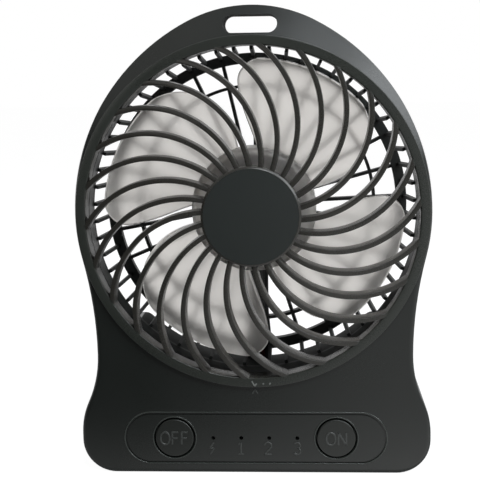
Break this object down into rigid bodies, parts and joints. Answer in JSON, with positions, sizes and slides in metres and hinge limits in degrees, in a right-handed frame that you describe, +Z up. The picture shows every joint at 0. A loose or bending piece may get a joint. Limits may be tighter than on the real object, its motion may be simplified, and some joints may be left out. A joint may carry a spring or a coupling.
{
  "type": "rechargeable desk fan",
  "caption": "Small rechargeable desk fan: waisted casing, round swept-bar front grille, broad-bladed impeller, slotted rear cage, push buttons and a carry slot.",
  "frame": {"origin": "on the floor under the middle of the base, at the bottom centre of the bounding box", "axes": "+Z up, the front grille and the buttons face -Y, +X to the right seen from the front"},
  "size_m": [0.108, 0.04, 0.1434],
  "materials": {
    "casing": "fine grained moulding",
    "grille": "satin moulding",
    "hub_face": "smooth satin",
    "button": "fine grained moulding",
    "impeller_plastic": "milky and clear",
    "bright_steel": "plated",
    "screw_steel": "zinc plated",
    "core_steel": "stacked sheet",
    "magnet": "sintered",
    "copper": "enamelled wire",
    "bush_metal": "sintered",
    "motor_cap": "moulded",
    "board": "solder mask",
    "chip": "moulded",
    "lamp": "clear",
    "switch_plastic": "moulded",
    "cell": "shrink wrapped",
    "contact": "nickel plated",
    "lead_red": "sleeved wire",
    "lead_black": "sleeved wire"
  },
  "bodies": {
    "body": {"front_housing": "casing", "rear_housing": "casing", "rear_cage": "casing", "wire_cover": "casing", "motor_can": "bright_steel", "motor_end_cap": "motor_cap", "motor_bushes": "bush_metal", "motor_magnets": "magnet", "motor_terminals": "bush_metal", "motor_retainer": "casing", "motor_screws": "screw_steel", "motor_lead_red": "lead_red", "motor_lead_black": "lead_black", "control_board": "board", "board_screws": "screw_steel", "board_chips": "chip", "indicator_lamps": "lamp", "usb_socket": "bright_steel", "on_switch": "switch_plastic", "off_switch": "switch_plastic", "battery_cell": "cell", "contact_positive": "contact", "contact_negative": "contact", "housing_screws": "screw_steel"},
    "rotor": {"impeller": "impeller_plastic", "motor_shaft": "bright_steel", "armature_core": "core_steel", "armature_windings": "copper", "commutator": "copper"},
    "grille": {"front_grille": "grille", "hub_plate": "hub_face"},
    "on_key": {"on_button": "button", "on_plunger": "switch_plastic"},
    "off_key": {"off_button": "button", "off_plunger": "switch_plastic"},
    "door": {"battery_door": "casing"}
  },
  "joints": [
    {"name": "fan_spin", "type": "hinge", "parent": "body", "child": "rotor", "pos_m": [0, 0, 0.0812], "axis": [0, -1, 0], "continuous": true},
    {"name": "grille_twist", "type": "hinge", "parent": "body", "child": "grille", "pos_m": [0, 0, 0.0812], "axis": [0, -1, 0], "range_deg": [0, 12]},
    {"name": "on_press", "type": "slide", "parent": "body", "child": "on_key", "axis": [0, 1, 0], "range_m": [0, 0.0005], "stiffness_N_per_m": 1500},
    {"name": "off_press", "type": "slide", "parent": "body", "child": "off_key", "axis": [0, 1, 0], "range_m": [0, 0.0005], "stiffness_N_per_m": 1500},
    {"name": "door_pull", "type": "slide", "parent": "body", "child": "door", "axis": [0, 1, 0], "range_m": [0, 0.03]}
  ]
}
